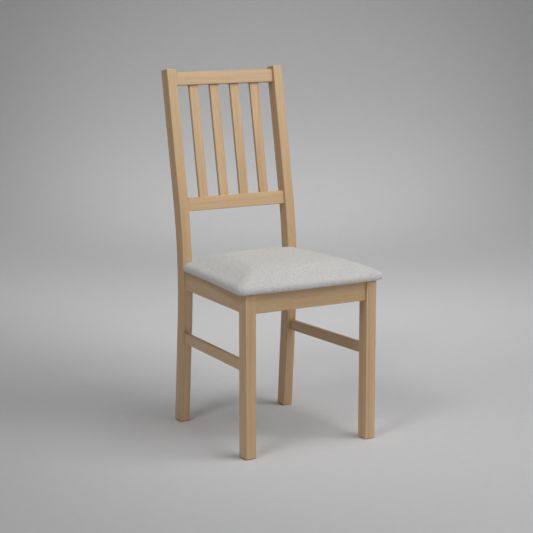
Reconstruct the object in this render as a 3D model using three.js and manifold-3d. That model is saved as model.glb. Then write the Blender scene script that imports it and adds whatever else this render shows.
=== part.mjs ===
// Slat-back dining chair with an upholstered seat pad.
//
// Millimetres, +Z up, the sitter faces -Y. "Left" is -X and "right" is +X, as seen from the front.
// The origin is on the floor, under the middle of the chair's bounding box.
//
// The frame is wood: two front legs, two one-piece back posts that bend behind the seat, four seat
// rails dowelled to them and braced by corner blocks, two side stretchers, and a raked back of a
// crest rail, a lower rail and slats, all tenoned. The pad is a board, a foam and a fabric cover,
// screwed on from below through the corner blocks.

import * as THREE from 'three';
import { mergeVertices } from 'three/addons/utils/BufferGeometryUtils.js';
import Module from 'manifold-3d';

const wasm = await Module();
wasm.setup();

// ---------------------------------------------------------------- driving dimensions

const GAP = 0.3; // clearance between neighbours that touch
const ARRIS = 2; // radius of the eased edges on the wood
const SIDES = [['left', -1], ['right', 1]];
const ROUND_SIDES = 12; // flats on every round bar and hole

const HEIGHT = 960; // floor to the tops of the back posts
const FRONT_WIDTH = 391; // over the front legs
const BACK_WIDTH = 357; // over the back posts
const FRAME_DEPTH = 368; // front of the front legs to the foremost line of the back posts
const SEAT_FRAME_TOP = 424; // floor to the top of the seat rails

const FRONT_LEG_WIDTH = 29.5;
const FRONT_LEG_DEPTH = 36;
const POST_WIDTH = 28;
const POST_DEPTH = 35.5;
const POST_SPLAY = THREE.MathUtils.degToRad(4.3); // the foot of a post runs back
const BACK_RAKE = THREE.MathUtils.degToRad(10.6); // the top of a post leans back
const BEND_RADIUS = 1300; // front face, between the two straight ends
const BEND_HEIGHT = 380; // floor to the foremost line of a post
const POST_TOP_ROUNDING = 3.5; // front and rear edges of a post's top

const SEAT_RAIL_HEIGHT = 50;
const SEAT_RAIL_THICKNESS = 20;
const FRONT_RAIL_SETBACK = 6; // behind the front faces of the legs
const SIDE_RAIL_SETBACK = 5; // inside the outer faces of the legs
const REAR_RAIL_SETBACK = 0.5; // behind the foremost line of the posts

const STRETCHER_HEIGHT = 28;
const STRETCHER_THICKNESS = 13;
const STRETCHER_SETBACK = 4.5; // inside the outer faces of the legs
const STRETCHER_BOTTOM = 225;
const STRETCHER_TENON_HEIGHT = 18;
const STRETCHER_TENON_THICKNESS = 7;
const STRETCHER_TENON_LENGTH = 16;

const BACK_RAIL_HEIGHT = 36;
const BACK_RAIL_THICKNESS = 26;
const BACK_RAIL_SETBACK = 7; // behind the front faces of the posts
const CREST_DROP = 8; // top of a post to the top of the crest rail, along the post
const LOWER_RAIL_RISE = 195.5; // seat frame to the top of the lower rail, at the posts' front faces
const BACK_TENON_HEIGHT = 24;
const BACK_TENON_THICKNESS = 10;
const BACK_TENON_LENGTH = 17;

const SLAT_COUNT = 4;
const SLAT_WIDTH = 27;
const SLAT_THICKNESS = 10;
const SLAT_PITCH = 62.7;
const SLAT_TENON_WIDTH = 18;
const SLAT_TENON_THICKNESS = 6;
const SLAT_TENON_LENGTH = 12;

const DOWEL_RADIUS = 4;
const DOWEL_DEPTH = 16; // into each of the two pieces that it joins
const DOWEL_PITCH = 11; // cross rails and side rails take turns up the leg at this pitch
const DOWEL_CHAMFER = 1;

const BLOCK_HEIGHT = 30;
const BLOCK_WIDTH = 30; // across the diagonal brace
const BLOCK_LEG_CLEARANCE = 2;
const BLOCK_SCREW_REACH = 12; // into the rail
const BLOCK_SCREW_GRIP = 9; // of the block, under the head
const SCREW_SHANK_RADIUS = 2;
const SCREW_HEAD_RADIUS = 4;
const SCREW_HEAD_HEIGHT = 2.6;
const SCREW_POINT = 3;

const GLIDE_RADIUS = 10.5;
const GLIDE_HEIGHT = 2;
const GLIDE_PIN_RADIUS = 1.5;
const GLIDE_PIN_LENGTH = 12;
const GLIDE_EASING = 0.8; // edge on the floor

const PAD_FRONT_OVERHANG = 15; // past the front faces of the front legs, at the middle
const PAD_FRONT_BOW = 4; // how far the front edge bows out between its corners
const PAD_FRONT_SIDE_OVERHANG = 27; // past the outer faces of the front legs
const PAD_REAR_SIDE_OVERHANG = 9; // past the outer faces of the back posts
const PAD_POST_CLEARANCE = 1; // rear edge to the foremost line of the posts
const PAD_FRONT_CORNER = 28; // plan radius
const PAD_REAR_CORNER = 16;
const PAD_EDGE_HEIGHT = 24; // the rounded side of the pad
const PAD_EDGE_BULGE = 10; // how far that side swells past its top and bottom
const PAD_EDGE_STEPS = 6;
const PAD_CROWN = 34; // rise of the middle above the rounded side
const PAD_CROWN_POWER = 4.5; // the higher, the flatter the middle
const COVER_THICKNESS = 1.2;
const COVER_RETURN = 38; // fabric turned in under the board
const DUST_COVER_THICKNESS = 0.6;
const DUST_COVER_INSET = 22; // inside the widest line of the pad
const BOARD_THICKNESS = 10;
const SEAT_SCREW_REACH = 7.5; // into the board
const SEAT_SCREW_SHARE = 0.3; // of the way from a block's inner edge to its outer one

// ---------------------------------------------------------------- derived places

const backCurve = new THREE.Vector2(FRAME_DEPTH + BEND_RADIUS, BEND_HEIGHT); // (y, z) of its centre
const footHeight = GLIDE_HEIGHT + GAP;
const railMiddle = SEAT_FRAME_TOP - SEAT_RAIL_HEIGHT / 2;
const stretcherMiddle = STRETCHER_BOTTOM + STRETCHER_HEIGHT / 2;
const betweenLegs = FRONT_WIDTH - 2 * FRONT_LEG_WIDTH;
const betweenPosts = BACK_WIDTH - 2 * POST_WIDTH;
const frontRailMiddle = FRONT_RAIL_SETBACK + SEAT_RAIL_THICKNESS / 2;
const rearRailMiddle = FRAME_DEPTH + REAR_RAIL_SETBACK + SEAT_RAIL_THICKNESS / 2;
const backRailMiddle = BACK_RAIL_SETBACK + BACK_RAIL_THICKNESS / 2;

const dustCoverBottom = SEAT_FRAME_TOP + GAP;
const coverBottom = dustCoverBottom + DUST_COVER_THICKNESS + GAP;
const boardBottom = coverBottom + COVER_THICKNESS + GAP;
const boardTop = boardBottom + BOARD_THICKNESS;

// A point of the post's front face (inset 0) or rear face (inset POST_DEPTH), on the bend.
function bendPoint(angle, inset) {
  const radius = BEND_RADIUS - inset;
  return new THREE.Vector2(
    backCurve.x - radius * Math.cos(angle),
    backCurve.y + radius * Math.sin(angle),
  );
}

// The face of a post at a height below the bend.
function footPoint(height, inset) {
  const start = bendPoint(-POST_SPLAY, inset);
  return new THREE.Vector2(start.x + (start.y - height) * Math.tan(POST_SPLAY), height);
}

// The front top corner of a post, before its rounding, where the raked back's own axes start.
function postTop() {
  const start = bendPoint(BACK_RAKE, 0);
  const [sine, cosine] = [Math.sin(BACK_RAKE), Math.cos(BACK_RAKE)];
  const height = HEIGHT + (POST_TOP_ROUNDING * sine * cosine) / (sine + cosine);
  return new THREE.Vector2(start.x + (height - start.y) * Math.tan(BACK_RAKE), height);
}

const backTop = postTop();
const lowerRailDrop = (backTop.y - SEAT_FRAME_TOP - LOWER_RAIL_RISE) / Math.cos(BACK_RAKE);

// ---------------------------------------------------------------- geometry helpers

const X = new THREE.Vector3(1, 0, 0);
const Y = new THREE.Vector3(0, 1, 0);
const Z = new THREE.Vector3(0, 0, 1);

function vec(x, y, z) {
  return new THREE.Vector3(x, y, z);
}

// A closed geometry as a solid that can be joined and cut.
function solid(geometry) {
  const bare = geometry.clone();
  bare.deleteAttribute('normal');
  bare.deleteAttribute('uv');
  const merged = mergeVertices(bare, 1e-4);
  const mesh = new wasm.Mesh({
    numProp: 3,
    vertProperties: new Float32Array(merged.attributes.position.array),
    triVerts: new Uint32Array(merged.index.array),
  });
  return new wasm.Manifold(mesh);
}

function geometryOf(manifold) {
  const mesh = manifold.getMesh();
  const geometry = new THREE.BufferGeometry();
  geometry.setAttribute('position', new THREE.BufferAttribute(mesh.vertProperties, 3));
  geometry.setIndex(new THREE.BufferAttribute(mesh.triVerts, 1));
  geometry.computeVertexNormals();
  return geometry;
}

// One geometry with others joined to it and then others cut from it.
function carve(base, { join = [], cut = [] }) {
  let result = solid(base);
  for (const other of join) result = result.add(solid(other));
  for (const other of cut) result = result.subtract(solid(other));
  return geometryOf(result);
}

// A closed outline through the corners, each rounded by its own radius.
function roundedOutline(corners, radii) {
  const shape = new THREE.Shape();
  corners.forEach((corner, i) => {
    const before = corners[(i + corners.length - 1) % corners.length];
    const after = corners[(i + 1) % corners.length];
    const reach = Array.isArray(radii) ? radii[i] : radii;
    const enter = before.clone().sub(corner).setLength(reach).add(corner);
    const leave = after.clone().sub(corner).setLength(reach).add(corner);
    if (i === 0) shape.moveTo(enter.x, enter.y);
    else shape.lineTo(enter.x, enter.y);
    shape.quadraticCurveTo(corner.x, corner.y, leave.x, leave.y);
  });
  shape.closePath();
  return shape;
}

// Axes for a beam: its length along "from" to "to", its height towards "up".
function beamAxes(from, to, up) {
  const along = to.clone().sub(from).normalize();
  const across = up.clone().cross(along).normalize();
  const upward = along.clone().cross(across);
  return new THREE.Matrix4().makeBasis(across, upward, along).setPosition(from);
}

// A straight member with eased long edges. It starts at "from" and ends at "to".
function beam(width, height, from, to, up = Z, arris = ARRIS) {
  const corners = [[-1, -1], [1, -1], [1, 1], [-1, 1]].map(
    ([x, y]) => new THREE.Vector2((x * width) / 2, (y * height) / 2),
  );
  const shape = arris > 0 ? roundedOutline(corners, arris) : new THREE.Shape(corners);
  const depth = from.distanceTo(to);
  const geometry = new THREE.ExtrudeGeometry(shape, { depth, bevelEnabled: false, curveSegments: 3 });
  return geometry.applyMatrix4(beamAxes(from, to, up));
}

// A plain square-edged beam, for tenons and for the mortises that take them.
function tenon(width, height, from, to, up = Z) {
  return beam(width, height, from, to, up, 0);
}

// A round bar between two points.
function roundBar(radius, from, to) {
  const length = from.distanceTo(to);
  const geometry = new THREE.CylinderGeometry(radius, radius, length, ROUND_SIDES);
  geometry.rotateX(Math.PI / 2).translate(0, 0, length / 2);
  const up = Math.abs(to.z - from.z) > length / 2 ? X : Z;
  return geometry.applyMatrix4(beamAxes(from, to, up));
}

// A round piece about Z, from its outline as (radius, height).
function turned(outline) {
  const profile = outline.map(([radius, height]) => new THREE.Vector2(radius, height));
  return new THREE.LatheGeometry(profile, ROUND_SIDES).rotateX(Math.PI / 2);
}

// A horizontal plate with the given outline.
function plate(shape, bottom, thickness, curveSegments = 4) {
  const settings = { depth: thickness, bevelEnabled: false, curveSegments };
  return new THREE.ExtrudeGeometry(shape, settings).translate(0, 0, bottom);
}

// ---------------------------------------------------------------- materials

function finish(color, roughness, metalness = 0) {
  return () => new THREE.MeshStandardMaterial({ color, roughness, metalness });
}

const oak = finish(0xc9a678, 0.55);
const birch = finish(0xd6bd94, 0.7);
const beech = finish(0xd9b98a, 0.7);
const fabric = finish(0xc8c8c5, 0.95);
const foam = finish(0xe9e2c6, 1);
const fleece = finish(0x2a2a2c, 1);
const steel = finish(0xb9bcc0, 0.35, 1);
const plastic = finish(0x3a352f, 0.5);

const chair = new THREE.Group();
const body = new THREE.Group();
chair.add(body);

function addPiece(parent, name, geometry, material) {
  const mesh = new THREE.Mesh(geometry, material());
  mesh.name = name;
  parent.add(mesh);
  return mesh;
}

// ---------------------------------------------------------------- side members

// The middle line of a member that runs from a front leg to the post behind it, with its outer
// face set in from theirs. It is long enough to reach "into" both.
function sideLine(side, setback, thickness, height, into) {
  const inset = setback + thickness / 2;
  const front = vec(side * (FRONT_WIDTH / 2 - inset), FRONT_LEG_DEPTH, height);
  const rear = vec(side * (BACK_WIDTH / 2 - inset), footPoint(height, 0).x, height);
  if (height > bendPoint(-POST_SPLAY, 0).y) {
    rear.y = bendPoint(Math.asin((height - BEND_HEIGHT) / BEND_RADIUS), 0).x;
  }
  const along = rear.clone().sub(front).normalize();
  return [front.addScaledVector(along, -into), rear.addScaledVector(along, into), along];
}

// The side view of a post as (y, z): two straight ends joined by a bend, square at the top.
function postOutline(grow) {
  const front = -grow;
  const rear = POST_DEPTH + grow;
  const along = new THREE.Vector2(Math.sin(BACK_RAKE), Math.cos(BACK_RAKE));
  const across = new THREE.Vector2(Math.cos(BACK_RAKE), -Math.sin(BACK_RAKE));
  const top = backTop.clone().addScaledVector(across, front).addScaledVector(along, grow);
  const topRear = top.clone().addScaledVector(across, rear - front);
  const low = footPoint(footHeight - grow, front);
  const lowRear = footPoint(footHeight - grow, rear);
  const [splayEnd, rakeEnd] = [Math.PI + POST_SPLAY, Math.PI - BACK_RAKE];
  const { x: curveY, y: curveZ } = backCurve;
  const shape = new THREE.Shape();
  shape.moveTo(lowRear.x, lowRear.y);
  shape.lineTo(low.x, low.y);
  shape.absarc(curveY, curveZ, BEND_RADIUS - front, splayEnd, rakeEnd, true);
  roundCorner(shape, top, along.clone().negate(), across);
  roundCorner(shape, topRear, across.clone().negate(), along.clone().negate());
  shape.absarc(curveY, curveZ, BEND_RADIUS - rear, rakeEnd, splayEnd, false);
  shape.closePath();
  return shape;
}

// Takes an outline round a corner: "enter" and "leave" point from the corner along its two sides.
function roundCorner(shape, corner, enter, leave) {
  const start = corner.clone().addScaledVector(enter, POST_TOP_ROUNDING);
  const end = corner.clone().addScaledVector(leave, POST_TOP_ROUNDING);
  shape.lineTo(start.x, start.y);
  shape.quadraticCurveTo(corner.x, corner.y, end.x, end.y);
}

// The bent post between two side planes. "grow" makes the cutter for what butts against it.
function postBody(side, grow = 0) {
  const bevel = grow > 0 ? 0 : ARRIS;
  const settings = {
    depth: POST_WIDTH + 2 * grow - 2 * bevel,
    bevelEnabled: bevel > 0,
    bevelSize: bevel,
    bevelThickness: bevel,
    bevelOffset: -bevel,
    bevelSegments: 2,
    curveSegments: 8,
  };
  const geometry = new THREE.ExtrudeGeometry(postOutline(grow), settings);
  geometry.applyMatrix4(new THREE.Matrix4().makeBasis(Y, Z, X));
  const inner = side > 0 ? betweenPosts / 2 : -BACK_WIDTH / 2;
  return geometry.translate(inner - grow + bevel, 0, 0);
}

function frontLegBody(side, grow = 0) {
  const centre = side * (FRONT_WIDTH / 2 - FRONT_LEG_WIDTH / 2);
  const middle = FRONT_LEG_DEPTH / 2;
  const low = vec(centre, middle, footHeight - grow);
  const high = vec(centre, middle, SEAT_FRAME_TOP + grow);
  const arris = grow > 0 ? 0 : ARRIS;
  return beam(FRONT_LEG_WIDTH + 2 * grow, FRONT_LEG_DEPTH + 2 * grow, low, high, Y, arris);
}

function stretcherTenon(side, clearance) {
  const reach = STRETCHER_TENON_LENGTH + clearance;
  const [from, to] = sideLine(side, STRETCHER_SETBACK, STRETCHER_THICKNESS, stretcherMiddle, reach);
  const thickness = STRETCHER_TENON_THICKNESS + 2 * clearance;
  return tenon(thickness, STRETCHER_TENON_HEIGHT + 2 * clearance, from, to);
}

// What shoulders a side member: the leg and the post, and the same again further in, so that a
// member thicker than they are wide still ends in line with their faces.
function legCutters(side) {
  const cutters = [frontLegBody(side, GAP), postBody(side, GAP)];
  const further = cutters.map((cutter) => cutter.clone().translate(-side * SEAT_RAIL_THICKNESS, 0, 0));
  return [...cutters, ...further];
}

function addStretcher(name, side) {
  const into = STRETCHER_TENON_LENGTH;
  const [from, to] = sideLine(side, STRETCHER_SETBACK, STRETCHER_THICKNESS, stretcherMiddle, into);
  const bar = beam(STRETCHER_THICKNESS, STRETCHER_HEIGHT, from, to);
  const shouldered = carve(bar, { cut: legCutters(side) });
  addPiece(body, `stretcher_${name}`, carve(shouldered, { join: [stretcherTenon(side, 0)] }), oak);
}

// ---------------------------------------------------------------- dowels

// Every dowel as its middle point, its direction and its name.
function dowelPlaces() {
  const places = [];
  const heights = (first) => [
    ['lower', railMiddle + (first - 1.5) * DOWEL_PITCH],
    ['upper', railMiddle + (first + 0.5) * DOWEL_PITCH],
  ];
  for (const [name, side] of SIDES) {
    for (const [level, z] of heights(0)) {
      const front = vec((side * betweenLegs) / 2, frontRailMiddle, z);
      const rear = vec((side * betweenPosts) / 2, rearRailMiddle, z);
      places.push({ name: `front_rail_${name}_${level}`, middle: front, along: X, side });
      places.push({ name: `rear_rail_${name}_${level}`, middle: rear, along: X, side });
    }
    for (const [level, z] of heights(1)) {
      const line = sideLine(side, SIDE_RAIL_SETBACK, SEAT_RAIL_THICKNESS, z, 0);
      const [front, rear, along] = line;
      places.push({ name: `side_rail_${name}_${level}_front`, middle: front, along, side });
      places.push({ name: `side_rail_${name}_${level}_rear`, middle: rear, along, side });
    }
  }
  return places;
}

const dowels = dowelPlaces();

function dowelBar({ middle, along }, clearance) {
  const half = DOWEL_DEPTH - GAP + 2 * clearance;
  const from = middle.clone().addScaledVector(along, -half);
  const to = middle.clone().addScaledVector(along, half);
  return roundBar(DOWEL_RADIUS + clearance, from, to);
}

const dowelHoles = (part) => dowels.filter((d) => d.name.includes(part)).map((d) => dowelBar(d, GAP));

function addDowels() {
  for (const dowel of dowels) {
    const mesh = addPiece(body, `dowel_${dowel.name}`, dowelGeometry(), beech);
    mesh.position.copy(dowel.middle);
    mesh.quaternion.setFromUnitVectors(Z, dowel.along);
  }
}

// A dowel about its middle, with its length along Z and its ends chamfered.
function dowelGeometry() {
  const half = DOWEL_DEPTH - GAP;
  const end = DOWEL_RADIUS - DOWEL_CHAMFER;
  const shoulder = half - DOWEL_CHAMFER;
  return turned([
    [0, -half], [end, -half], [DOWEL_RADIUS, -shoulder], [DOWEL_RADIUS, shoulder], [end, half], [0, half],
  ]);
}

// ---------------------------------------------------------------- corner blocks and their screws

// The inside faces of the rails at a corner: where the leg's inner corner is, the cross rail's
// face, and the side rail's face at any depth.
function cornerFaces(end, side) {
  const inset = SIDE_RAIL_SETBACK + SEAT_RAIL_THICKNESS;
  const [front, rear] = sideLine(side, inset, 0, railMiddle, 0);
  const sideFace = (y) => THREE.MathUtils.mapLinear(y, front.y, rear.y, front.x, rear.x) * side;
  if (end === 'front') {
    const face = FRONT_RAIL_SETBACK + SEAT_RAIL_THICKNESS;
    return { legX: betweenLegs / 2, legY: FRONT_LEG_DEPTH, cross: face, inward: 1, sideFace };
  }
  const face = FRAME_DEPTH + REAR_RAIL_SETBACK;
  return { legX: betweenPosts / 2, legY: FRAME_DEPTH, cross: face, inward: -1, sideFace };
}

// Where the brace's edge, at a distance in from the leg's corner, meets the two rails.
function braceEdge(corner, distance) {
  const { legX, legY, cross, inward, sideFace } = corner;
  const reach = distance * Math.SQRT2;
  const crossY = cross + inward * GAP;
  const atCross = new THREE.Vector2(legX - reach + (crossY - legY) * inward, crossY);
  let y = legY + inward * reach;
  for (let pass = 0; pass < 4; pass += 1) {
    y = legY + inward * (reach + sideFace(y) - GAP - legX);
  }
  return { atCross, atSide: new THREE.Vector2(sideFace(y) - GAP, y) };
}

function blockOutline(corner, side) {
  const outer = braceEdge(corner, BLOCK_LEG_CLEARANCE);
  const inner = braceEdge(corner, BLOCK_LEG_CLEARANCE + BLOCK_WIDTH);
  const points = [outer.atCross, inner.atCross, inner.atSide, outer.atSide];
  return points.map((p) => new THREE.Vector2(p.x * side, p.y));
}

const blockMiddle = SEAT_FRAME_TOP - GAP - BLOCK_HEIGHT / 2;

// The two screws of a block, each square to the rail that it enters.
function blockScrews(corner, side) {
  const middle = braceEdge(corner, BLOCK_LEG_CLEARANCE + BLOCK_WIDTH / 2);
  const cross = vec(middle.atCross.x * side, corner.cross, blockMiddle);
  const flank = vec(corner.sideFace(middle.atSide.y) * side, middle.atSide.y, blockMiddle);
  return [
    { rail: 'cross', face: cross, along: vec(0, -corner.inward, 0) },
    { rail: 'side', face: flank, along: vec(side, 0, 0) },
  ];
}

// The seat screw stands nearer to the block's inner edge, well inside the edge of the board.
function seatScrewFoot(corner, side) {
  const outer = braceEdge(corner, BLOCK_LEG_CLEARANCE);
  const inner = braceEdge(corner, BLOCK_LEG_CLEARANCE + BLOCK_WIDTH);
  const [near, far] = [inner, outer].map((edge) => edge.atCross.clone().lerp(edge.atSide, 0.5));
  const spot = near.lerp(far, SEAT_SCREW_SHARE);
  return vec(spot.x * side, spot.y, blockMiddle - BLOCK_HEIGHT / 2);
}

const corners = SIDES.flatMap(([name, side]) => ['front', 'rear'].map((end) => {
  const corner = cornerFaces(end, side);
  const foot = seatScrewFoot(corner, side);
  return { name: `${end}_${name}`, end, side, corner, foot, screws: blockScrews(corner, side) };
}));

const seatScrewLength = boardBottom + SEAT_SCREW_REACH - (blockMiddle - BLOCK_HEIGHT / 2);

// A pan-head screw along +Z: the underside of its head is at the origin.
function screwGeometry(length) {
  return turned([
    [0, -SCREW_HEAD_HEIGHT], [SCREW_HEAD_RADIUS * 0.6, -SCREW_HEAD_HEIGHT],
    [SCREW_HEAD_RADIUS, -SCREW_HEAD_HEIGHT / 2], [SCREW_HEAD_RADIUS, 0],
    [SCREW_SHANK_RADIUS, 0], [SCREW_SHANK_RADIUS, length - SCREW_POINT], [0, length],
  ]);
}

// The hole that a screw needs from the underside of its head on, and the pocket for the head.
function screwHole(head, along, length) {
  const tip = head.clone().addScaledVector(along, length + GAP);
  return roundBar(SCREW_SHANK_RADIUS + GAP, head.clone().addScaledVector(along, -GAP), tip);
}

const blockScrewHead = (s) => s.face.clone().addScaledVector(s.along, -BLOCK_SCREW_GRIP);
const blockScrewLength = BLOCK_SCREW_GRIP + BLOCK_SCREW_REACH;

function blockScrewHoles(filter) {
  const found = corners.filter(filter.corner).flatMap((c) => c.screws.filter(filter.screw));
  return found.map((s) => screwHole(blockScrewHead(s), s.along, blockScrewLength));
}

function addCorner({ name, side, corner, foot, screws }) {
  const block = plate(new THREE.Shape(blockOutline(corner, side)), foot.z, BLOCK_HEIGHT);
  const cuts = [screwHole(foot, Z, seatScrewLength)];
  for (const screw of screws) {
    const head = blockScrewHead(screw);
    const pocketStart = head.clone().addScaledVector(screw.along, -2 * BLOCK_WIDTH);
    const pocketEnd = head.clone().addScaledVector(screw.along, GAP);
    cuts.push(roundBar(SCREW_HEAD_RADIUS + GAP, pocketStart, pocketEnd));
    cuts.push(screwHole(head, screw.along, blockScrewLength));
    const screwName = `block_screw_${name}_${screw.rail}`;
    const mesh = addPiece(body, screwName, screwGeometry(blockScrewLength), steel);
    mesh.position.copy(head).addScaledVector(screw.along, GAP / 2);
    mesh.quaternion.setFromUnitVectors(Z, screw.along);
  }
  addPiece(body, `corner_block_${name}`, carve(block, { cut: cuts }), birch);
  const seatScrew = addPiece(body, `seat_screw_${name}`, screwGeometry(seatScrewLength), steel);
  seatScrew.position.copy(foot).z -= GAP;
}

// ---------------------------------------------------------------- seat frame

function addSideRail(name, side) {
  const into = DOWEL_DEPTH;
  const [from, to] = sideLine(side, SIDE_RAIL_SETBACK, SEAT_RAIL_THICKNESS, railMiddle, into);
  const bar = beam(SEAT_RAIL_THICKNESS, SEAT_RAIL_HEIGHT, from, to);
  const screws = blockScrewHoles({
    corner: (c) => c.side === side,
    screw: (s) => s.rail === 'side',
  });
  const cut = [...legCutters(side), ...dowelHoles(`side_rail_${name}`), ...screws];
  addPiece(body, `side_rail_${name}`, carve(bar, { cut }), oak);
}

function addCrossRail(end, length, middle) {
  const half = length / 2 - GAP;
  const [from, to] = [vec(-half, middle, railMiddle), vec(half, middle, railMiddle)];
  const bar = beam(SEAT_RAIL_THICKNESS, SEAT_RAIL_HEIGHT, from, to);
  const screws = blockScrewHoles({ corner: (c) => c.end === end, screw: (s) => s.rail === 'cross' });
  addPiece(body, `${end}_rail`, carve(bar, { cut: [...dowelHoles(`${end}_rail`), ...screws] }), oak);
}

// ---------------------------------------------------------------- raked back

// Axes of the back: X across, Y behind the posts' front faces, Z up along the posts, from their tops.
const back = new THREE.Group();
back.position.set(0, backTop.x, backTop.y);
back.rotation.x = -BACK_RAKE;
back.updateMatrix();
body.add(back);

const backRails = [['crest_rail', CREST_DROP], ['lower_back_rail', lowerRailDrop]];
const slatPlaces = Array.from({ length: SLAT_COUNT }, (_, i) => (i - (SLAT_COUNT - 1) / 2) * SLAT_PITCH);

// The tenons at both ends of a back rail as one bar. "clearance" makes it the mortise.
function backTenon(drop, clearance) {
  const half = betweenPosts / 2 + BACK_TENON_LENGTH + clearance;
  const height = -drop - BACK_RAIL_HEIGHT / 2;
  const [from, to] = [vec(-half, backRailMiddle, height), vec(half, backRailMiddle, height)];
  const thickness = BACK_TENON_THICKNESS + 2 * clearance;
  return tenon(thickness, BACK_TENON_HEIGHT + 2 * clearance, from, to);
}

// A slat's two tenons as one bar, about X = 0.
function slatTenon(clearance) {
  const top = -CREST_DROP - BACK_RAIL_HEIGHT + SLAT_TENON_LENGTH + clearance;
  const bottom = -lowerRailDrop - SLAT_TENON_LENGTH - clearance;
  const [from, to] = [vec(0, backRailMiddle, bottom), vec(0, backRailMiddle, top)];
  return tenon(SLAT_TENON_WIDTH + 2 * clearance, SLAT_TENON_THICKNESS + 2 * clearance, from, to, Y);
}

function addBackRail(name, drop) {
  const half = betweenPosts / 2 - GAP;
  const height = -drop - BACK_RAIL_HEIGHT / 2;
  const [from, to] = [vec(-half, backRailMiddle, height), vec(half, backRailMiddle, height)];
  const bar = beam(BACK_RAIL_THICKNESS, BACK_RAIL_HEIGHT, from, to);
  const cut = slatPlaces.map((x) => slatTenon(GAP).translate(x, 0, 0));
  addPiece(back, name, carve(bar, { join: [backTenon(drop, 0)], cut }), oak);
}

function addSlats() {
  const bottom = -lowerRailDrop + GAP;
  const top = -CREST_DROP - BACK_RAIL_HEIGHT - GAP;
  const [from, to] = [vec(0, backRailMiddle, bottom), vec(0, backRailMiddle, top)];
  slatPlaces.forEach((x, i) => {
    const blade = beam(SLAT_WIDTH, SLAT_THICKNESS, from, to, Y);
    const mesh = addPiece(back, `slat_${i + 1}`, carve(blade, { join: [slatTenon(0)] }), oak);
    mesh.position.x = x;
  });
}

// ---------------------------------------------------------------- legs, posts and glides

function glideAxis(name) {
  const [end, side] = [name.split('_')[0], name.endsWith('left') ? -1 : 1];
  if (end === 'front') {
    return vec(side * (FRONT_WIDTH - FRONT_LEG_WIDTH) / 2, FRONT_LEG_DEPTH / 2, 0);
  }
  const y = (footPoint(footHeight, 0).x + footPoint(footHeight, POST_DEPTH).x) / 2;
  return vec((side * (BACK_WIDTH - POST_WIDTH)) / 2, y, 0);
}

function glidePinHole(name) {
  const axis = glideAxis(name);
  const top = axis.clone().setZ(GLIDE_HEIGHT + GLIDE_PIN_LENGTH + GAP);
  return roundBar(GLIDE_PIN_RADIUS + GAP, axis, top);
}

function addGlides() {
  const pinTop = GLIDE_HEIGHT + GLIDE_PIN_LENGTH;
  const outline = [
    [0, 0], [GLIDE_RADIUS - GLIDE_EASING, 0], [GLIDE_RADIUS, GLIDE_EASING],
    [GLIDE_RADIUS, GLIDE_HEIGHT], [GLIDE_PIN_RADIUS, GLIDE_HEIGHT],
    [GLIDE_PIN_RADIUS, pinTop - GLIDE_PIN_RADIUS], [0, pinTop],
  ];
  for (const { name } of corners) {
    addPiece(body, `glide_${name}`, turned(outline), plastic).position.copy(glideAxis(name));
  }
}

function addFrontLeg(name, side) {
  const cut = [
    stretcherTenon(side, GAP), glidePinHole(`front_${name}`),
    ...dowelHoles(`front_rail_${name}`), ...dowelHoles(`side_rail_${name}`),
  ];
  addPiece(body, `front_leg_${name}`, carve(frontLegBody(side), { cut }), oak);
}

function addBackPost(name, side) {
  const mortises = backRails.map(([, drop]) => backTenon(drop, GAP).applyMatrix4(back.matrix));
  const cut = [
    stretcherTenon(side, GAP), glidePinHole(`rear_${name}`), ...mortises,
    ...dowelHoles(`rear_rail_${name}`), ...dowelHoles(`side_rail_${name}`),
  ];
  addPiece(body, `back_post_${name}`, carve(postBody(side), { cut }), oak);
}

// ---------------------------------------------------------------- seat pad

// The pad's plan outline as points, drawn in by a distance from its widest line.
function padPlan(inset) {
  const front = -PAD_FRONT_OVERHANG + PAD_FRONT_BOW + inset;
  const rear = FRAME_DEPTH - PAD_POST_CLEARANCE - inset;
  const halfFront = FRONT_WIDTH / 2 + PAD_FRONT_SIDE_OVERHANG - inset;
  const halfRear = BACK_WIDTH / 2 + PAD_REAR_SIDE_OVERHANG - inset;
  const corner = (x, y) => new THREE.Vector2(x, y);
  const points = [
    corner(-halfFront, front), corner(halfFront, front), corner(halfRear, rear), corner(-halfRear, rear),
  ];
  const radius = (full) => Math.max(full - inset, full / 3);
  const radii = [PAD_FRONT_CORNER, PAD_FRONT_CORNER, PAD_REAR_CORNER, PAD_REAR_CORNER].map(radius);
  const outline = [];
  for (const curve of roundedOutline(points, radii).curves) {
    const straight = curve.isLineCurve;
    const steps = straight ? 6 : 4;
    for (const p of curve.getPoints(steps).slice(0, -1)) {
      const bowed = straight && Math.abs(p.y - front) < 1e-6;
      const bow = bowed ? PAD_FRONT_BOW * (1 - (p.x / halfFront) ** 2) : 0;
      outline.push(corner(p.x, p.y - bow));
    }
  }
  return outline;
}

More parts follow.
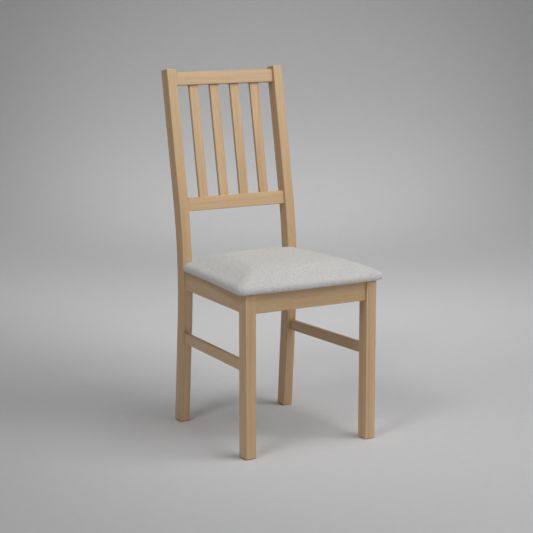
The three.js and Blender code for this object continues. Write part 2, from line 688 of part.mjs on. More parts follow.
// The crowned pad, from a lathe whose turns are laid along the plan outline. "shrink" is how far
// the surface lies inside the outer one.
function padForm(shrink) {
  const plan = padPlan(shrink);
  const bottom = coverBottom + shrink;
  const edge = PAD_EDGE_HEIGHT - shrink;
  const rim = [];
  const crown = [];
  for (let step = 0; step <= PAD_EDGE_STEPS; step += 1) {
    const angle = Math.PI * (step / PAD_EDGE_STEPS - 1 / 2);
    const inset = PAD_EDGE_BULGE * (1 - Math.cos(angle));
    rim.push({ inset, reach: 1, z: bottom + (edge / 2) * (1 + Math.sin(angle)) });
  }
  for (const reach of [0.96, 0.9, 0.8, 0.67, 0.5, 0.27, 0]) {
    const rise = PAD_CROWN * (1 - reach ** PAD_CROWN_POWER);
    crown.push({ inset: PAD_EDGE_BULGE, reach, z: bottom + edge + rise - shrink });
  }
  const rows = [{ inset: PAD_EDGE_BULGE, reach: 0, z: bottom }, ...rim, ...crown];
  const profile = rows.map(({ reach, z }) => new THREE.Vector2(reach, z));
  const geometry = new THREE.LatheGeometry(profile, plan.length);
  const position = geometry.attributes.position;
  const centre = new THREE.Vector2(0, (FRAME_DEPTH - PAD_FRONT_OVERHANG) / 2);
  for (let column = 0; column <= plan.length; column += 1) {
    const edgePoint = plan[column % plan.length].clone().sub(centre);
    rows.forEach(({ inset, reach, z }, row) => {
      const spot = edgePoint.clone().setLength(edgePoint.length() - inset).multiplyScalar(reach);
      position.setXYZ(column * rows.length + row, centre.x + spot.x, centre.y + spot.y, z);
    });
  }
  return geometry;
}

const planShape = (inset) => new THREE.Shape(padPlan(inset));

function addPad() {
  const inner = padForm(COVER_THICKNESS);
  const opening = plate(planShape(PAD_EDGE_BULGE + COVER_RETURN), coverBottom - 1, PAD_EDGE_HEIGHT / 2);
  const holes = corners.map(({ foot }) => screwHole(foot, Z, seatScrewLength));
  addPiece(body, 'seat_cover', carve(padForm(0), { cut: [inner, opening, ...holes] }), fabric);

  const foamForm = padForm(COVER_THICKNESS + GAP);
  const below = new THREE.BoxGeometry(2 * FRONT_WIDTH, 2 * FRAME_DEPTH, 4 * BOARD_THICKNESS);
  below.translate(0, FRAME_DEPTH / 2, boardTop + GAP - 2 * BOARD_THICKNESS);
  addPiece(body, 'seat_foam', carve(foamForm, { cut: [below] }), foam);

  const boardInset = PAD_EDGE_BULGE + COVER_THICKNESS + GAP;
  const board = plate(planShape(boardInset), boardBottom, BOARD_THICKNESS);
  addPiece(body, 'seat_board', carve(board, { cut: holes }), birch);

  const dustCover = plate(planShape(DUST_COVER_INSET), dustCoverBottom, DUST_COVER_THICKNESS);
  addPiece(body, 'dust_cover', carve(dustCover, { cut: holes }), fleece);
}

// ---------------------------------------------------------------- assembly

for (const [name, side] of SIDES) {
  addFrontLeg(name, side);
  addBackPost(name, side);
  addSideRail(name, side);
  addStretcher(name, side);
}
addCrossRail('front', betweenLegs, frontRailMiddle);
addCrossRail('rear', betweenPosts, rearRailMiddle);
for (const [name, drop] of backRails) addBackRail(name, drop);
addSlats();
addDowels();
corners.forEach(addCorner);
addGlides();
addPad();

const extent = new THREE.Box3().setFromObject(body);
body.position.y = -(extent.min.y + extent.max.y) / 2;

export default chair;
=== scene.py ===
"""Looks for the slat-back dining chair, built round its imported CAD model.

Metres, +Z up, the sitter faces -Y. The oak frame is the CAD model's own, with solid-wood
materials whose grain runs along each member. The seat pad is a new piece: a closed form that
is inflated by cloth simulation and covered in a melange plain weave.
"""

import math

import bpy
import numpy as np
from mathutils import Matrix, Vector


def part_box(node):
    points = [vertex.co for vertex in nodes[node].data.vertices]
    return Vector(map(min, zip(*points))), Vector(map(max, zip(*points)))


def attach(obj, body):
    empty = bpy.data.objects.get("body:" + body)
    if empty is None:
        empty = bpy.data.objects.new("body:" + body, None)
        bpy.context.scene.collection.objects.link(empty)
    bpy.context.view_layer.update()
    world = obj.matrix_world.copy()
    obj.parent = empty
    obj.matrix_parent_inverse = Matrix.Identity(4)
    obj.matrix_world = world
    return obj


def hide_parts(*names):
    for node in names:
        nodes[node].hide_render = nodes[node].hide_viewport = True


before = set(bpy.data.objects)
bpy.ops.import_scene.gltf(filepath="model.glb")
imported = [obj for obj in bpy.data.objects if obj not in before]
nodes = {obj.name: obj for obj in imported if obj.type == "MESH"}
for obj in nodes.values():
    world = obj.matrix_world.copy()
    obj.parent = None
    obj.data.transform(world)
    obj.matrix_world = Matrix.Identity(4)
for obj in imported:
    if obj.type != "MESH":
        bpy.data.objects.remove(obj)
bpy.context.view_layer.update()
scene = bpy.context.scene

# ------------------------------------------------------------------ named sizes

BACK_RAKE = math.radians(10.6)  # lean of the slats and of the posts above their bend
POST_SPLAY = math.radians(4.3)  # how far the posts run back below their bend

PAD_EDGE = 0.012  # from the pad's underside up to its widest line
PAD_TUCK = 0.008  # how far the side curls in below that line
PAD_BOW = 0.004  # how far the front edge bows out
PAD_PULL = 0.0015  # how far the side edges pull in between the corners
PAD_REAR_BOW = 0.012  # how far the rear edge bulges over the rear rail, between the posts
PAD_REAR_BOW_POWER = 1.4  # above 1, it gathers the bulge towards the middle
PAD_REAR_TUCK = 0.35  # share of the tuck that is left at the rear edge
PAD_TUCK_FADE = (0.03, 0.005)  # the tuck lessens between these distances from the rear edge
PAD_REAR_OVERHANG = 0.0078  # past the outer faces of the back posts
# How far each corner's rounding reaches along its two edges, from the front left one round.
PAD_CORNERS = (0.028, 0.028, 0.021, 0.021)
PAD_CROWN_POWER = 4.6  # the higher, the flatter the middle
PAD_SHOULDER_POWER = 0.64  # the lower, the steeper the side above the widest line
PAD_OVAL_POWER = 9.0  # the lower, the rounder the pad's corners grow on the way up
PAD_OVAL_ONSET = 2.2  # the higher, the sooner they do
PAD_ROW_CROWDING = 1.7  # above 1, the rows lie closer together near the widest line
PAD_CORNER_POINTS = 12
PAD_EDGE_POINTS = 30
PAD_START_DROP = 0.0050  # before it swells, the crown lies this far below the CAD cover's
PAD_VOXEL = 0.005
PAD_PRESSURE = 4.0
PAD_FRAMES = 20
PAD_SWELL_CAP = 0.006  # the furthest that a point may move
PAD_EVENING_ROUNDS = 30  # of averaging each point's movement with its neighbours'
PAD_HELD_HEIGHT = 0.014  # the tucked edge keeps its place below this height
PAD_FREE_HEIGHT = 0.034  # and the crown swells fully above this one

POST_CLEARANCE = 0.004  # the rear bulge begins this far in from the rear rail's ends

THREAD_PITCH = 0.0013  # of the seat fabric

LACQUER_SHINE = 0.9  # specular level of the wood

CAMERA_PLACE = Vector((-2.0678, -3.5316, 1.2011))
CAMERA_YAW = math.radians(30.38)  # to the right of +Y
CAMERA_PITCH = math.radians(10.50)  # below the horizon
SENSOR = 36.0
LENS = 105.55


# ------------------------------------------------------------------ mesh and node helpers


def coordinates(mesh):
    flat = np.zeros(len(mesh.vertices) * 3)
    mesh.vertices.foreach_get("co", flat)
    return flat.reshape(-1, 3)


class Graph:
    """Adds nodes to one node tree. An input's value is a number, a tuple or an output."""

    def __init__(self, tree):
        self.tree = tree

    def node(self, kind, inputs=None, **settings):
        made = self.tree.nodes.new(kind)
        for name, value in settings.items():
            setattr(made, name, value)
        for name, value in (inputs or {}).items():
            self.feed(made.inputs[name], value)
        return made

    def feed(self, socket, value):
        if isinstance(value, bpy.types.NodeSocket):
            self.tree.links.new(value, socket)
        else:
            socket.default_value = value

    def math(self, operation, a, b=0.0):
        return self.node("ShaderNodeMath", {0: a, 1: b}, operation=operation).outputs[0]

    def vector(self, operation, a, b=(0.0, 0.0, 0.0)):
        made = self.node("ShaderNodeVectorMath", {0: a, 1: b}, operation=operation)
        return made.outputs["Value" if operation == "LENGTH" else "Vector"]

    def split(self, vector):
        return self.node("ShaderNodeSeparateXYZ", {0: vector}).outputs

    def join(self, x, y, z=0.0):
        return self.node("ShaderNodeCombineXYZ", {0: x, 1: y, 2: z}).outputs[0]

    def noise(self, vector, detail=2.0, roughness=0.5, scale=1.0):
        settings = {"Vector": vector, "Scale": scale, "Detail": detail, "Roughness": roughness}
        return self.node("ShaderNodeTexNoise", settings).outputs["Fac"]

    def stretched_noise(self, vector, scales, detail=2.0, roughness=0.5):
        return self.noise(self.vector("MULTIPLY", vector, scales), detail, roughness)

    def remap(self, value, low, high, to_low=0.0, to_high=1.0):
        inputs = {"Value": value, "From Min": low, "From Max": high, "To Min": to_low}
        inputs["To Max"] = to_high
        return self.node("ShaderNodeMapRange", inputs, interpolation_type="SMOOTHSTEP").outputs[0]

    def mix(self, factor, a, b, blend="MIX"):
        made = self.node("ShaderNodeMix", data_type="RGBA", blend_type=blend)
        self.feed(made.inputs[0], factor)
        self.feed(made.inputs[6], a)
        self.feed(made.inputs[7], b)
        return made.outputs[2]

    def bump(self, height, distance, strength=1.0):
        inputs = {"Height": height, "Distance": distance, "Strength": strength}
        return self.node("ShaderNodeBump", inputs).outputs["Normal"]


def srgb(red, green, blue):
    """A colour given as 0 to 255 values, as the linear colour that the shaders take."""

    def linear(value):
        share = value / 255
        return share / 12.92 if share <= 0.04045 else ((share + 0.055) / 1.055) ** 2.4

    return (linear(red), linear(green), linear(blue), 1.0)


def new_material(name):
    material = bpy.data.materials.new(name)
    material.use_nodes = True
    graph = Graph(material.node_tree)
    shader = material.node_tree.nodes["Principled BSDF"]
    place = graph.node("ShaderNodeTexCoord").outputs["Object"]
    return material, graph, shader, place


def dress(graph, shader, color, roughness, normal):
    graph.feed(shader.inputs["Base Color"], color)
    graph.feed(shader.inputs["Roughness"], roughness)
    graph.feed(shader.inputs["Normal"], normal)


# ------------------------------------------------------------------ wood


def grain_space(graph, place, along, offset):
    """Coordinates whose X runs along the grain, moved so that each member has its own figure."""
    along = Vector(along).normalized()
    side = along.cross(Vector((0.31, 0.22, 0.93))).normalized()
    turn = Matrix((along, side, along.cross(side)))
    settings = {"Vector": place, "Location": offset, "Rotation": turn.to_euler()}
    return graph.node("ShaderNodeMapping", settings).outputs[0]


def unbent(graph, place, bend_height):
    """Coordinates in which a back post, bent at that height, stands straight."""
    x, y, z = graph.split(place)
    above = graph.math("MAXIMUM", graph.math("SUBTRACT", z, bend_height), 0.0)
    below = graph.math("MAXIMUM", graph.math("SUBTRACT", bend_height, z), 0.0)
    y = graph.math("SUBTRACT", y, graph.math("MULTIPLY", above, math.tan(BACK_RAKE)))
    y = graph.math("SUBTRACT", y, graph.math("MULTIPLY", below, math.tan(POST_SPLAY)))
    return graph.join(x, y, z)


def wood_figure(graph, grain, ring_width, ring_depth):
    """Growth rings, fibres, pores and slow variation of a piece of wood, each from 0 to 1."""
    sway = graph.stretched_noise(grain, (1.3, 5.0, 5.0), 2.0)
    ripple = graph.stretched_noise(grain, (7.0, 45.0, 45.0), 2.0)
    _, across, deep = graph.split(grain)
    reach = graph.vector("LENGTH", graph.join(across, deep))
    swayed = graph.math("ADD", reach, graph.math("MULTIPLY", sway, 0.014))
    swayed = graph.math("ADD", swayed, graph.math("MULTIPLY", ripple, ring_depth))
    ring = graph.math("FRACT", graph.math("DIVIDE", swayed, ring_width))
    early = graph.remap(graph.math("ABSOLUTE", graph.math("SUBTRACT", ring, 0.5)), 0.22, 0.5)
    fibre = graph.stretched_noise(grain, (9.0, 620.0, 620.0), 3.0, 0.6)
    pores = graph.stretched_noise(grain, (70.0, 1900.0, 1900.0), 1.0)
    pore = graph.math("MULTIPLY", graph.remap(pores, 0.60, 0.68), early)
    slow = graph.stretched_noise(grain, (1.2, 55.0, 55.0), 3.0, 0.55)
    return early, fibre, pore, slow


def wood_material(name, along, offset, colors, ring_width=0.0032, rough=0.38, bend_height=None):
    """Solid wood under satin lacquer: the end grain shows the same rings as the faces."""
    material, graph, shader, place = new_material(name)
    light, dark, deep = colors
    shader.inputs["Specular IOR Level"].default_value = LACQUER_SHINE
    unbent_place = place if bend_height is None else unbent(graph, place, bend_height)
    grain = grain_space(graph, unbent_place, along, offset)
    early, fibre, pore, slow = wood_figure(graph, grain, ring_width, 0.0007)
    color = graph.mix(graph.remap(slow, 0.30, 0.72), light, dark)
    color = graph.mix(graph.math("MULTIPLY", early, 0.24), color, deep)
    color = graph.mix(graph.remap(fibre, 0.35, 0.75, 0.0, 0.32), color, deep)
    color = graph.mix(graph.math("MULTIPLY", pore, 0.45), color, deep, "MULTIPLY")
    handled = graph.noise(place, 3.0, 0.6, 11.0)
    roughness = graph.math("ADD", graph.remap(handled, 0.3, 0.7, rough - 0.05, rough + 0.07),
                           graph.math("MULTIPLY", pore, 0.15))
    height = graph.math("ADD", graph.math("MULTIPLY", fibre, 0.25),
                        graph.math("SUBTRACT", 0.3, graph.math("MULTIPLY", pore, 0.6)))
    dress(graph, shader, color, roughness, graph.bump(height, 0.00018, 0.6))
    return material


# Each wood's light, dark and deepest tone.
OAK = (srgb(225, 191, 147), srgb(213, 176, 130), srgb(184, 144, 99))
BIRCH = (srgb(226, 204, 168), srgb(214, 188, 148), srgb(188, 152, 108))


def centre(name):
    low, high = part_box(name)
    return (low + high) / 2


def grain_directions():
    """For each wooden node, the direction of its grain in the row frame."""
    found = {}
    upright = Vector((0, 0, 1))
    slat = Vector((0, math.sin(BACK_RAKE), math.cos(BACK_RAKE)))
    for side in ("left", "right"):
        level = centre(f"glide_rear_{side}") - centre(f"glide_front_{side}")
        found[f"side_rail_{side}"] = level
        found[f"stretcher_{side}"] = level
        found[f"front_leg_{side}"] = upright
        found[f"back_post_{side}"] = upright
    for name in ("front_rail", "rear_rail", "crest_rail", "lower_back_rail"):
        found[name] = Vector((1, 0, 0))
    for name in nodes:
        if name.startswith("slat_"):
            found[name] = slat
    return found


def ease_normals(node):
    """Shades the eased edges as rounds and the faces as flats, and leaves the shape as it is."""
    node.data.shade_smooth()
    weld = node.modifiers.new("weld", "WELD")
    weld.merge_threshold = 1e-6
    weighted = node.modifiers.new("normals", "WEIGHTED_NORMAL")
    weighted.keep_sharp = True
    weighted.weight = 100


def paint(node, material):
    node.data.materials.clear()
    node.data.materials.append(material)


def dress_wood():
    """Gives each oak node its own figure, cut from its own part of a tree."""
    for index, (name, along) in enumerate(sorted(grain_directions().items())):
        offset = (0.37 * index, 0.045 + 0.013 * (index % 5), 0.05 + 0.017 * (index % 3))
        bend_height = None
        if name.startswith("back_post_"):
            foremost = coordinates(nodes[name].data)[:, 1].argmin()
            bend_height = nodes[name].data.vertices[int(foremost)].co.z
        material = wood_material(f"oak_{name}", along, offset, OAK, bend_height=bend_height)
        paint(nodes[name], material)


# ------------------------------------------------------------------ hidden and small pieces


def speckled_material(name, base, other, scale, rough, relief, metallic=0.0):
    """A plain finish that is broken up by fine mottling, in colour, gloss and relief."""
    material, graph, shader, place = new_material(name)
    shader.inputs["Metallic"].default_value = metallic
    mottle = graph.noise(place, 4.0, 0.65, scale)
    fine = graph.noise(place, 2.0, 0.5, scale * 9)
    color = graph.mix(graph.remap(mottle, 0.35, 0.65), base, other)
    roughness = graph.remap(fine, 0.3, 0.7, rough - 0.08, rough + 0.08)
    height = graph.math("ADD", mottle, graph.math("MULTIPLY", fine, 0.5))
    dress(graph, shader, color, roughness, graph.bump(height, relief))
    return material


def dress_small_pieces():
    birch = {}
    for end, slope in (("front", 1), ("rear", -1)):
        for side, mirror in (("left", -1), ("right", 1)):
            along = (1, -slope * mirror, 0)
            offset = (0.2 * slope, 0.05, 0.06 * mirror)
            block = wood_material(f"birch_{end}_{side}", along, offset, BIRCH, 0.0045, 0.65)
            birch[f"corner_block_{end}_{side}"] = block
    beech = wood_material("beech_dowel", (1, 0, 0), (0, 0.03, 0.04), BIRCH, 0.002, 0.7)
    steel = speckled_material("zinc_plate", srgb(186, 188, 190), srgb(160, 160, 158), 500, 0.34,
                              0.00002, 1.0)
    plastic = speckled_material("glide_plastic", srgb(58, 48, 38), srgb(46, 38, 31), 260, 0.5,
                                0.00004)
    fleece = speckled_material("dust_fleece", srgb(34, 34, 36), srgb(24, 24, 26), 420, 0.9,
                               0.0002)
    for name, node in nodes.items():
        if name in birch:
            paint(node, birch[name])
        elif name.startswith("dowel_"):
            paint(node, beech)
        elif "_screw_" in name:
            paint(node, steel)
        elif name.startswith("glide_"):
            paint(node, plastic)
        elif name == "dust_cover":
            paint(node, fleece)


# ------------------------------------------------------------------ seat pad


def pad_plan():
    """The pad's outline at its widest line, seen from above, as an array of points."""
    low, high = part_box("seat_cover")
    _, post_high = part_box("back_post_right")
    front = low.y + PAD_BOW
    rear_half = post_high.x + PAD_REAR_OVERHANG
    front_corners = [(-high.x, front), (high.x, front)]
    rear_corners = [(rear_half, high.y), (-rear_half, high.y)]
    corners = np.array(front_corners + rear_corners)
    # For the front, right, rear and left edge: the bow, and the power that gathers it mid-edge.
    edges = ((PAD_BOW, 1), (-PAD_PULL, 1), (PAD_REAR_BOW, PAD_REAR_BOW_POWER), (-PAD_PULL, 1))
    turn_shares = np.linspace(0, 1, PAD_CORNER_POINTS, endpoint=False)[:, None]
    side_shares = np.linspace(0, 1, PAD_EDGE_POINTS, endpoint=False)[:, None]
    points = []
    for i, corner in enumerate(corners):
        following = corners[(i + 1) % 4]
        before = (corners[i - 1] - corner) / np.linalg.norm(corners[i - 1] - corner)
        after = (following - corner) / np.linalg.norm(following - corner)
        enter = corner + before * PAD_CORNERS[i]
        leave = corner + after * PAD_CORNERS[i]
        stop = following - after * PAD_CORNERS[(i + 1) % 4]
        points.append((1 - turn_shares) ** 2 * enter + 2 * turn_shares * (1 - turn_shares) * corner
                      + turn_shares**2 * leave)
        outward = np.array([after[1], -after[0]])
        bow, power = edges[i]
        bulge = (4 * side_shares * (1 - side_shares)) ** power
        points.append(leave + side_shares * (stop - leave) + outward * bow * bulge)
    return np.concatenate(points)


def pad_rows(low, high):
    """Rows of the pad's profile, from the middle of the underside to the middle of the crown:
    how far in from the widest line, which share of the way out, and how high."""
    widest = low + PAD_EDGE
    rows = [(PAD_TUCK, reach, low) for reach in (0.0, 0.35, 0.7, 0.9)]
    for angle in np.linspace(-math.pi / 2, 0, 8):
        rows.append((PAD_TUCK * (1 - math.cos(angle)), 1.0, widest + PAD_EDGE * math.sin(angle)))
    for share in np.linspace(0, 1, 40)[1:]:
        reach = 1 - share**PAD_ROW_CROWDING
        rise = (high - widest) * (1 - reach**PAD_CROWN_POWER) ** PAD_SHOULDER_POWER
        rows.append((0.0, reach, widest + rise))
    return rows


def pad_form():
    """The closed form of the pad before it swells."""
    low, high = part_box("seat_cover")
    plan = pad_plan()
    middle = np.array([0.0, (low.y + high.y) / 2])
    spokes = plan - middle
    lengths = np.linalg.norm(spokes, axis=1, keepdims=True)
    halves = np.abs(spokes).max(axis=0)
    oval = (np.abs(spokes / lengths / halves) ** PAD_OVAL_POWER).sum(axis=1, keepdims=True)
    rounder = np.minimum(1, oval ** (-1 / PAD_OVAL_POWER) / lengths)
    fade_from, fade_to = (high.y - distance for distance in PAD_TUCK_FADE)
    tuck_shares = np.interp(plan[:, 1:], (fade_from, fade_to), (1, PAD_REAR_TUCK))
    rows = pad_rows(low.z, high.z - PAD_START_DROP)
    count = len(plan)
    points = []
    for pull, reach, height in rows:
        softness = min(1, PAD_OVAL_ONSET * (1 - reach)) if height > low.z else 0
        ring = middle + spokes * (1 - pull * tuck_shares / lengths) * reach
        ring = middle + (ring - middle) * (1 - softness * (1 - rounder))
        points.append(np.column_stack([ring, np.full(count, height)]))
    faces = []
    for row in range(1, len(rows) - 2):
        here, following = row * count, (row + 1) * count
        for i in range(count):
            j = (i + 1) % count
            faces.append((here + i, here + j, following + j, following + i))
    bottom = count
    faces.append([bottom + i for i in reversed(range(count))])
    top = (len(rows) - 2) * count
    faces.append([top + i for i in range(count)])
    mesh = bpy.data.meshes.new("seat_pad")
    mesh.from_pydata([tuple(p) for p in np.concatenate(points)], [], faces)
    mesh.validate()
    return mesh


def evaluated_mesh(piece):
    depsgraph = bpy.context.evaluated_depsgraph_get()
    return bpy.data.meshes.new_from_object(piece.evaluated_get(depsgraph))


def remesh(piece, voxel):
    modifier = piece.modifiers.new("remesh", "REMESH")
    modifier.mode = "VOXEL"
    modifier.voxel_size = voxel
    mesh = evaluated_mesh(piece)
    piece.modifiers.clear()
    piece.data = mesh


def even_out(movement, mesh, rounds):
    """Averages the movement of each point with that of its neighbours, some times over."""
    flat = np.zeros(len(mesh.edges) * 2, dtype=int)
    mesh.edges.foreach_get("vertices", flat)
    one, other = flat.reshape(-1, 2).T
    neighbours = np.bincount(flat, minlength=len(movement))[:, None]
    for _ in range(rounds):
        total = np.zeros_like(movement)
        np.add.at(total, one, movement[other])
        np.add.at(total, other, movement[one])
        movement = (movement + total / neighbours) / 2
    return movement


def swell(piece, low):
    """The piece's points after a cloth simulation has inflated it above its tucked edge."""
    start = coordinates(piece.data)
    height = start[:, 2] - low
    group = piece.vertex_groups.new(name="held")
    group.add([int(i) for i in np.nonzero(height < PAD_HELD_HEIGHT)[0]], 1.0, "REPLACE")
    cloth = piece.modifiers.new("cloth", "CLOTH")
    cloth.settings.quality = 6
    cloth.settings.use_pressure = True
    cloth.settings.uniform_pressure_force = PAD_PRESSURE
    cloth.settings.effector_weights.gravity = 0
    cloth.settings.vertex_group_mass = group.name
    cloth.point_cache.frame_end = PAD_FRAMES
    for number in range(1, PAD_FRAMES + 1):
        scene.frame_set(number)
    moved = coordinates(evaluated_mesh(piece)) - start
    piece.modifiers.clear()
    piece.vertex_groups.clear()
    scene.frame_set(1)
    reach = np.linalg.norm(moved, axis=1, keepdims=True)
    moved = moved * np.minimum(1, PAD_SWELL_CAP / np.maximum(reach, 1e-9))
    moved = even_out(moved, piece.data, PAD_EVENING_ROUNDS)
    free = np.clip((height - PAD_HELD_HEIGHT) / (PAD_FREE_HEIGHT - PAD_HELD_HEIGHT), 0, 1)[:, None]
    return start + moved * free * free * (3 - 2 * free)


def build_pad():
    low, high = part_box("seat_cover")
    pad = bpy.data.objects.new("seat_pad", pad_form())
    scene.collection.objects.link(pad)
    remesh(pad, PAD_VOXEL)
    points = coordinates(pad.data)
    points = swell(pad, low.z)
    rail_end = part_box("rear_rail")[1].x
    beside_post = np.abs(points[:, 0]) > rail_end - POST_CLEARANCE
    points[:, 1] = np.where(beside_post, np.minimum(points[:, 1], high.y), points[:, 1])
    points[:, 2] = np.maximum(points[:, 2], low.z)
    pad.data.vertices.foreach_set("co", points.ravel())
    pad.data.shade_smooth()
    pad.data.update()
    finer = pad.modifiers.new("finer", "SUBSURF")
    finer.levels = 1
    finer.render_levels = 1
    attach(pad, "root")
    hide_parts("seat_cover", "seat_foam", "seat_board")
    return pad


# ------------------------------------------------------------------ seat fabric


def weave_space(graph, place):
    """Coordinates that follow the cloth over the edges of the pad, in threads."""
    _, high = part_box("seat_cover")
    normal = graph.node("ShaderNodeNewGeometry").outputs["Normal"]
    nx, ny, _ = graph.split(graph.vector("ABSOLUTE", normal))
    x, y, z = graph.split(place)
    drop = graph.math("SUBTRACT", high.z, z)
    total = graph.math("ADD", graph.math("ADD", nx, ny), 0.05)
    sideways = graph.remap(graph.math("DIVIDE", nx, total), 0.35, 0.65)
    forwards = graph.remap(graph.math("DIVIDE", ny, total), 0.35, 0.65)
    middle = centre("seat_cover")
    across = graph.math("ADD", x, graph.math("MULTIPLY", graph.math("SIGN", x),
                                             graph.math("MULTIPLY", drop, sideways)))
    ahead = graph.math("SUBTRACT", y, middle.y)
    along = graph.math("ADD", ahead, graph.math("MULTIPLY", graph.math("SIGN", ahead),
                                                graph.math("MULTIPLY", drop, forwards)))
    scaled = graph.vector("MULTIPLY", graph.join(across, along), (1 / THREAD_PITCH,) * 3)
    wander = graph.noise(place, 2.0, 0.5, 60.0)
    return graph.vector("ADD", scaled, graph.join(wander, wander))


def fabric_material():
    """Plain weave of two slubby melange yarns, warp along Y and weft along X."""
    material, graph, shader, place = new_material("seat_fabric")
    shader.inputs["Sheen Weight"].default_value = 0.25
    shader.inputs["Sheen Roughness"].default_value = 0.6
    shader.inputs["Specular IOR Level"].default_value = 0.25
    threads = weave_space(graph, place)
    u, v, _ = graph.split(threads)
    over_u = graph.math("SINE", graph.math("MULTIPLY", u, math.pi))
    over_v = graph.math("SINE", graph.math("MULTIPLY", v, math.pi))
    checker = graph.math("MULTIPLY", over_u, over_v)
    warp_on_top = graph.remap(checker, -0.25, 0.25)
    warp_round = graph.math("ABSOLUTE", over_u)
    weft_round = graph.math("ABSOLUTE", over_v)
    warp_height = graph.math("MULTIPLY", warp_round, graph.math("ADD", 0.55, warp_on_top))
    weft_height = graph.math("MULTIPLY", weft_round, graph.math("SUBTRACT", 1.55, warp_on_top))
    height = graph.math("MAXIMUM", warp_height, weft_height)
    warp_yarn = graph.stretched_noise(threads, (1.0, 0.09, 1.0), 2.0, 0.6)
    weft_yarn = graph.stretched_noise(threads, (0.09, 1.0, 1.0), 2.0, 0.6)
    yarn = graph.node("ShaderNodeMix", {0: warp_on_top, 2: weft_yarn, 3: warp_yarn}).outputs[0]
    blotch = graph.noise(place, 3.0, 0.6, 160.0)
    hairs = graph.noise(place, 2.0, 0.7, 2600.0)
    pale = srgb(240, 239, 236)
    grey = srgb(211, 210, 207)
    dark = srgb(172, 172, 171)
    color = graph.mix(graph.remap(yarn, 0.38, 0.66), pale, grey)
    color = graph.mix(graph.remap(blotch, 0.46, 0.66, 0.0, 0.6), color, grey)
    color = graph.mix(graph.remap(hairs, 0.58, 0.72, 0.0, 0.4), color, dark)
    # Painted shade: the low places between the threads are darkened towards the dark grey, as if
    # in their own shadow.
    painted_weave_shade = graph.remap(height, 0.2, 0.75, 0.45, 0.0)
    color = graph.mix(painted_weave_shade, color, dark)
    roughness = graph.remap(yarn, 0.3, 0.7, 0.82, 0.96)
    relief = graph.math("ADD", height, graph.math("MULTIPLY", hairs, 0.35))
    dress(graph, shader, color, roughness, graph.bump(relief, 0.00035, 0.7))
    return material


# ------------------------------------------------------------------ studio

FLOOR_FLAT = 2.6  # radius of the flat part of the floor
WALL_RADIUS = 3.4  # of the curve from the floor to the wall
WALL_HEIGHT = 4.5
FLOOR_TURNS = 96  # sides of the floor's circles
WORLD_LIGHT = 0.19


def build_stage():
    """A wide floor that turns up into a wall, all round the chair and the scene's camera."""
    profile = [(0.0, 0.0)] + [(FLOOR_FLAT * share, 0.0) for share in (0.2, 0.4, 0.6, 0.8, 1.0)]
    for angle in np.linspace(0, math.pi / 2, 17)[1:]:
        radius = FLOOR_FLAT + WALL_RADIUS * math.sin(angle)
        profile.append((radius, WALL_RADIUS * (1 - math.cos(angle))))
    profile.append((profile[-1][0], WALL_HEIGHT))
    points = [(0.0, 0.0, 0.0)]
    for radius, height in profile[1:]:
        for i in range(FLOOR_TURNS):
            angle = 2 * math.pi * i / FLOOR_TURNS
            points.append((radius * math.cos(angle), radius * math.sin(angle), height))
    faces = [(0, 1 + i, 1 + (i + 1) % FLOOR_TURNS) for i in range(FLOOR_TURNS)]
    for row in range(len(profile) - 2):
        for i in range(FLOOR_TURNS):
            j = (i + 1) % FLOOR_TURNS
            low, high = 1 + row * FLOOR_TURNS, 1 + (row + 1) * FLOOR_TURNS
            faces.append((low + i, high + i, high + j, low + j))
    mesh = bpy.data.meshes.new("studio_floor")
    mesh.from_pydata(points, [], faces)
    mesh.validate()
    mesh.shade_smooth()
    floor = bpy.data.objects.new("studio_floor", mesh)
    scene.collection.objects.link(floor)
    material, graph, shader, place = new_material("studio_paper")
    shader.inputs["Specular IOR Level"].default_value = 0.1
    pulp = graph.noise(place, 3.0, 0.6, 35.0)
    color = graph.mix(graph.remap(pulp, 0.3, 0.7), srgb(226, 226, 227), srgb(224, 224, 225))
    dress(graph, shader, color, 0.95, graph.bump(pulp, 0.0002, 0.3))
    paint(floor, material)


def aimed(name, light, place, target):
    """Adds a lamp that points from its place at the target."""
    lamp = bpy.data.objects.new(name, light)
    lamp.location = place
    lamp.rotation_mode = "QUATERNION"
    lamp.rotation_quaternion = (Vector(target) - Vector(place)).to_track_quat("-Z", "Y")
    scene.collection.objects.link(lamp)


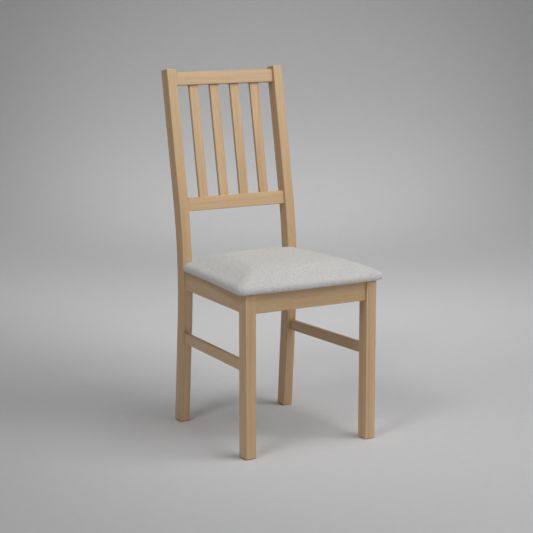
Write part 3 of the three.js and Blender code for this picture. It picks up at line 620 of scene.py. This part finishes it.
def softbox(name, place, target, size, power):
    light = bpy.data.lights.new(name, "AREA")
    light.shape = "RECTANGLE"
    light.size, light.size_y = size
    light.energy = power
    aimed(name, light, place, target)


def soft_spot(name, place, target, cone, power, radius):
    light = bpy.data.lights.new(name, "SPOT")
    light.energy = power
    light.spot_size = cone
    light.spot_blend = 1.0
    light.shadow_soft_size = radius
    aimed(name, light, place, target)


def light_studio():
    """A soft key from the right, fills, and two pools of light on the paper behind the chair."""
    middle = (0.0, 0.0, 0.45)
    softbox("key_light", (1.2, -1.9, 3.0), middle, (2.8, 2.8), 64)
    soft_spot("seat_light", (0.1, -0.2, 3.4), (0.0, -0.06, 0.45), 0.28, 65, 0.5)
    soft_spot("fill_light", (-2.0, -1.1, 2.8), middle, 0.62, 85, 0.5)
    soft_spot("back_light", (0.3, -2.4, 2.7), (0.0, 0.15, 0.82), 0.32, 27, 0.2)
    soft_spot("wall_light", (0.4, 0.7, 3.4), (2.15, 3.65, 0.4), 0.80, 180, 0.4)
    soft_spot("floor_light", (0.4, 0.7, 3.4), (1.15, 1.95, 0.0), 1.15, 150, 0.4)
    world = bpy.data.worlds.new("studio")
    scene.world = world
    world.use_nodes = True
    background = world.node_tree.nodes["Background"]
    background.inputs["Color"].default_value = (1.0, 1.0, 1.0, 1.0)
    background.inputs["Strength"].default_value = WORLD_LIGHT


def place_camera():
    camera = bpy.data.objects.new("camera", bpy.data.cameras.new("camera"))
    camera.data.sensor_width = SENSOR
    camera.data.lens = LENS
    camera.data.clip_end = 60
    camera.location = CAMERA_PLACE
    level = math.cos(CAMERA_PITCH)
    sideways, ahead = math.sin(CAMERA_YAW) * level, math.cos(CAMERA_YAW) * level
    towards = Vector((sideways, ahead, -math.sin(CAMERA_PITCH)))
    camera.rotation_mode = "QUATERNION"
    camera.rotation_quaternion = towards.to_track_quat("-Z", "Y")
    scene.collection.objects.link(camera)
    scene.camera = camera


# ------------------------------------------------------------------ everything

place_camera()
dress_wood()
dress_small_pieces()
for node in nodes.values():
    ease_normals(node)
seat_pad = build_pad()
paint(seat_pad, fabric_material())
build_stage()
light_studio()
scene.view_settings.view_transform = "Standard"
